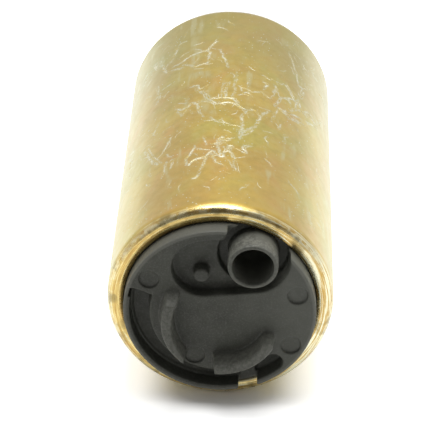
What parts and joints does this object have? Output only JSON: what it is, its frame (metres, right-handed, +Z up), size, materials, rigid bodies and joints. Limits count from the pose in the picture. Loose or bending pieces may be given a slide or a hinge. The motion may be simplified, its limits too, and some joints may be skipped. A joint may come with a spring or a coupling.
{
  "type": "fuel pump",
  "caption": "Electric in-tank fuel pump: plated steel can, moulded inlet cover with pocket, ribs and nipple, turbine and motor inside, outlet cap with hose nipple and socket.",
  "frame": {"origin": "under the middle of the whole pump, on the surface its can rests on", "axes": "+Y along the pump's axis from the inlet cover to the outlet cap, +Z up, +X to the right seen from the inlet end"},
  "size_m": [0.038, 0.0916, 0.0379],
  "materials": {
    "zinc_steel": "satin",
    "cover_resin": "satin",
    "casing_resin": "matte",
    "cap_resin": "satin",
    "bronze": "matte",
    "steel": "ground",
    "spring_steel": "drawn",
    "laminations": "matte",
    "ferrite": "matte",
    "copper": "drawn",
    "enamelled_wire": "lacquered",
    "brass": "satin",
    "carbon": "matte",
    "insulation": "matte",
    "rubber": "matte",
    "impeller_resin": "satin",
    "tin": "satin"
  },
  "bodies": {
    "housing": {"can": "zinc_steel", "inlet_cover": "cover_resin", "pump_casing": "casing_resin", "lower_bearing": "bronze", "thrust_pad": "steel", "magnet_a": "ferrite", "magnet_b": "ferrite", "magnet_clip_a": "spring_steel", "magnet_clip_b": "spring_steel", "end_cap": "cap_resin", "cap_seal": "rubber", "upper_bearing": "bronze", "terminal_positive": "tin", "terminal_negative": "tin", "choke_core_a": "ferrite", "choke_core_b": "ferrite", "choke_winding_a": "enamelled_wire", "choke_winding_b": "enamelled_wire", "brush_lead_a": "copper", "brush_lead_b": "copper", "brush_spring_a": "spring_steel", "brush_spring_b": "spring_steel", "check_guide": "cap_resin", "check_spring": "spring_steel", "relief_retainer": "brass", "relief_spring": "spring_steel"},
    "rotor": {"shaft": "steel", "impeller": "impeller_resin", "front_washer": "insulation", "rear_washer": "insulation", "armature_core": "laminations", "front_insulator": "insulation", "rear_insulator": "insulation", "armature_winding": "enamelled_wire", "commutator_hub": "casing_resin", "commutator_bar_1": "copper", "commutator_bar_2": "copper", "commutator_bar_3": "copper", "commutator_bar_4": "copper", "commutator_bar_5": "copper", "commutator_bar_6": "copper", "commutator_bar_7": "copper", "commutator_bar_8": "copper"},
    "brush_a": {"brush_a": "carbon"},
    "brush_b": {"brush_b": "carbon"},
    "check_valve": {"check_valve": "rubber"},
    "relief_ball": {"relief_ball": "steel"}
  },
  "joints": [
    {"name": "rotor_spin", "type": "hinge", "parent": "housing", "child": "rotor", "pos_m": [0, 0, 0.01896], "axis": [0, 1, 0], "continuous": true},
    {"name": "brush_a_slide", "type": "slide", "parent": "housing", "child": "brush_a", "axis": [0, 1, 0], "range_m": [0, 0.0015], "stiffness_N_per_m": 100, "springref_m": -0.007, "deforming": ["brush_spring_a"]},
    {"name": "brush_b_slide", "type": "slide", "parent": "housing", "child": "brush_b", "axis": [0, 1, 0], "range_m": [0, 0.0015], "stiffness_N_per_m": 100, "springref_m": -0.007, "deforming": ["brush_spring_b"]},
    {"name": "check_valve_slide", "type": "slide", "parent": "housing", "child": "check_valve", "axis": [0, 1, 0], "range_m": [0, 0.0018], "stiffness_N_per_m": 80, "springref_m": -0.006, "deforming": ["check_spring"]},
    {"name": "relief_ball_slide", "type": "slide", "parent": "housing", "child": "relief_ball", "axis": [0, 1, 0], "range_m": [0, 0.001], "stiffness_N_per_m": 500, "springref_m": -0.004, "deforming": ["relief_spring"]}
  ]
}
